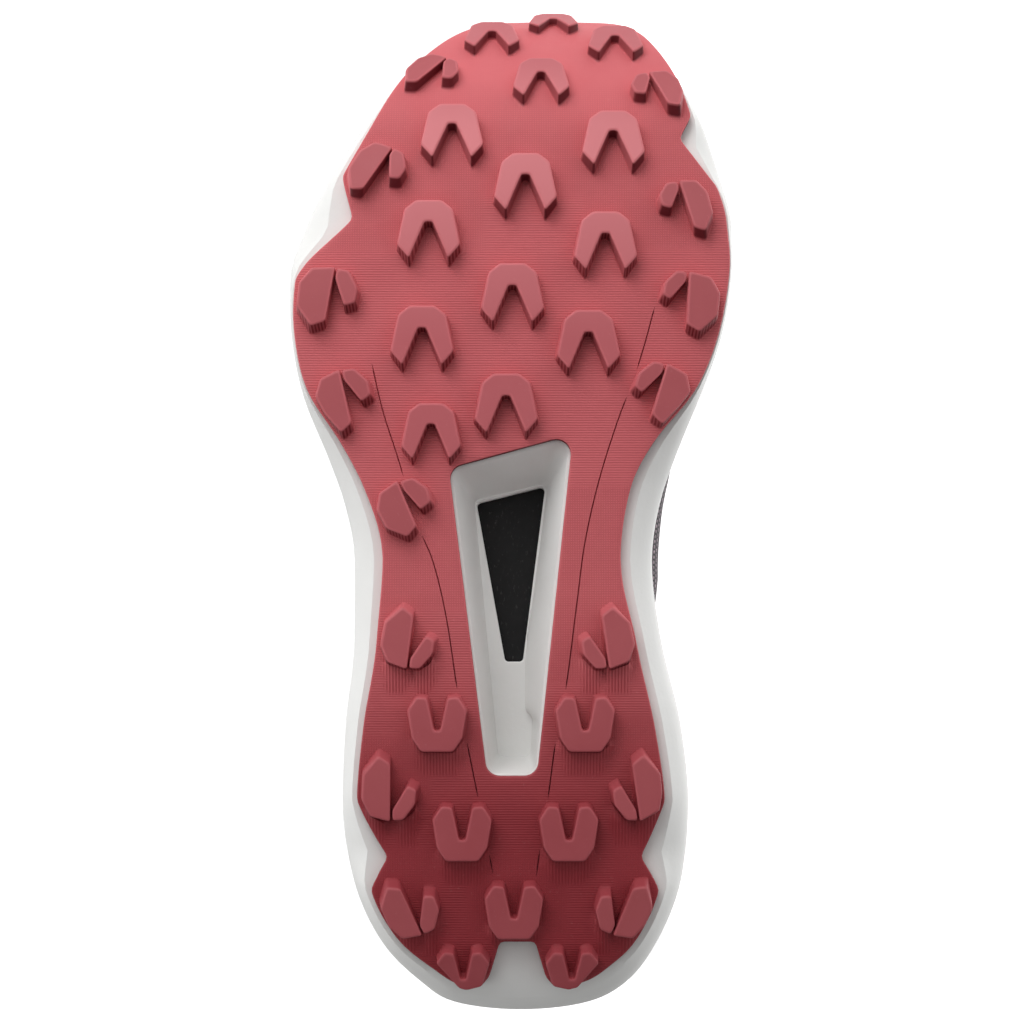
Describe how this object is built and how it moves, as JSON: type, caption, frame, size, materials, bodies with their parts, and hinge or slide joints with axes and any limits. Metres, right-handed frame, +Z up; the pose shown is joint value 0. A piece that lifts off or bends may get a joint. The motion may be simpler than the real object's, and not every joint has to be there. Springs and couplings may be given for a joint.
{
  "type": "trail running shoe",
  "caption": "Trail running shoe lying on its side: hollow mesh upper with laces and tongue, thick foam midsole and rubber tread with open lugs around a central window.",
  "frame": {"origin": "centre of the bounding box's base, on the floor that the shoe lies on", "axes": "+X along the shoe from heel to toe, +Y from the tread towards the collar, +Z up, away from the floor and towards the shoe's lateral side"},
  "size_m": [0.2912, 0.1072, 0.1228],
  "materials": {
    "outsole": "matte",
    "midsole": "matte",
    "lasting_board": "matte",
    "insole": "matte",
    "upper": "matte",
    "toe_cap": "matte",
    "heel_counter": "matte",
    "eyestay": "matte",
    "tongue": "matte",
    "laces": "matte"
  },
  "bodies": {
    "root": {"outsole": "outsole", "midsole": "midsole", "lasting_board": "lasting_board", "insole": "insole", "upper": "upper", "toe_cap": "toe_cap", "heel_counter": "heel_counter", "eyestay": "eyestay", "tongue": "tongue", "laces": "laces"}
  },
  "joints": []
}
